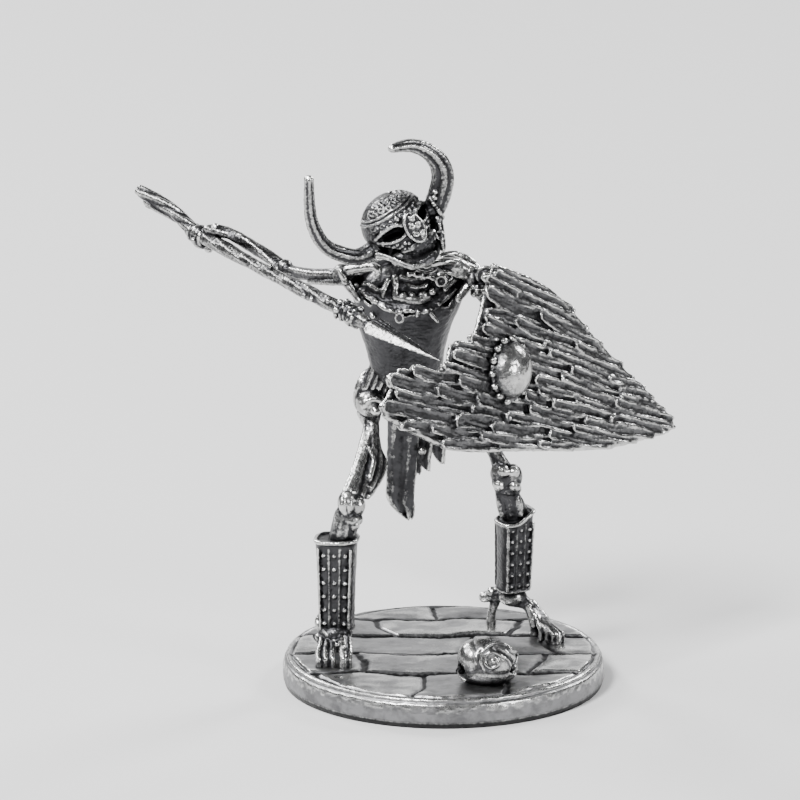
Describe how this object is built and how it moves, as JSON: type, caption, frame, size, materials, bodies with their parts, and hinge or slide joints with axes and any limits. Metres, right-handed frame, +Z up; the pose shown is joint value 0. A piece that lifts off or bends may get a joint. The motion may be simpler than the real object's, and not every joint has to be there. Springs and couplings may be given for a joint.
{
  "type": "metal soldier figurine",
  "caption": "Cast metal skeleton warrior in a horned helmet, lunging with a spear behind a ragged plank shield, on a round flagstone base with a snail shell.",
  "frame": {"origin": "centre of the round base's flat underside", "axes": "+Z up through the figure; -Y towards the viewer the figure faces; +X towards the shield's point"},
  "size_m": [0.0511, 0.038, 0.0538],
  "materials": {
    "base_metal": "cast white metal, blackened in the joints and burnished bright on the edge",
    "figure_metal": "cast white metal, blackened in the recesses and burnished bright on the high spots",
    "shield_metal": "cast white metal, blackened between the boards and burnished bright on the board edges and boss"
  },
  "bodies": {
    "root": {"base": "base_metal", "skeleton_warrior": "figure_metal", "shield": "shield_metal"}
  },
  "joints": []
}
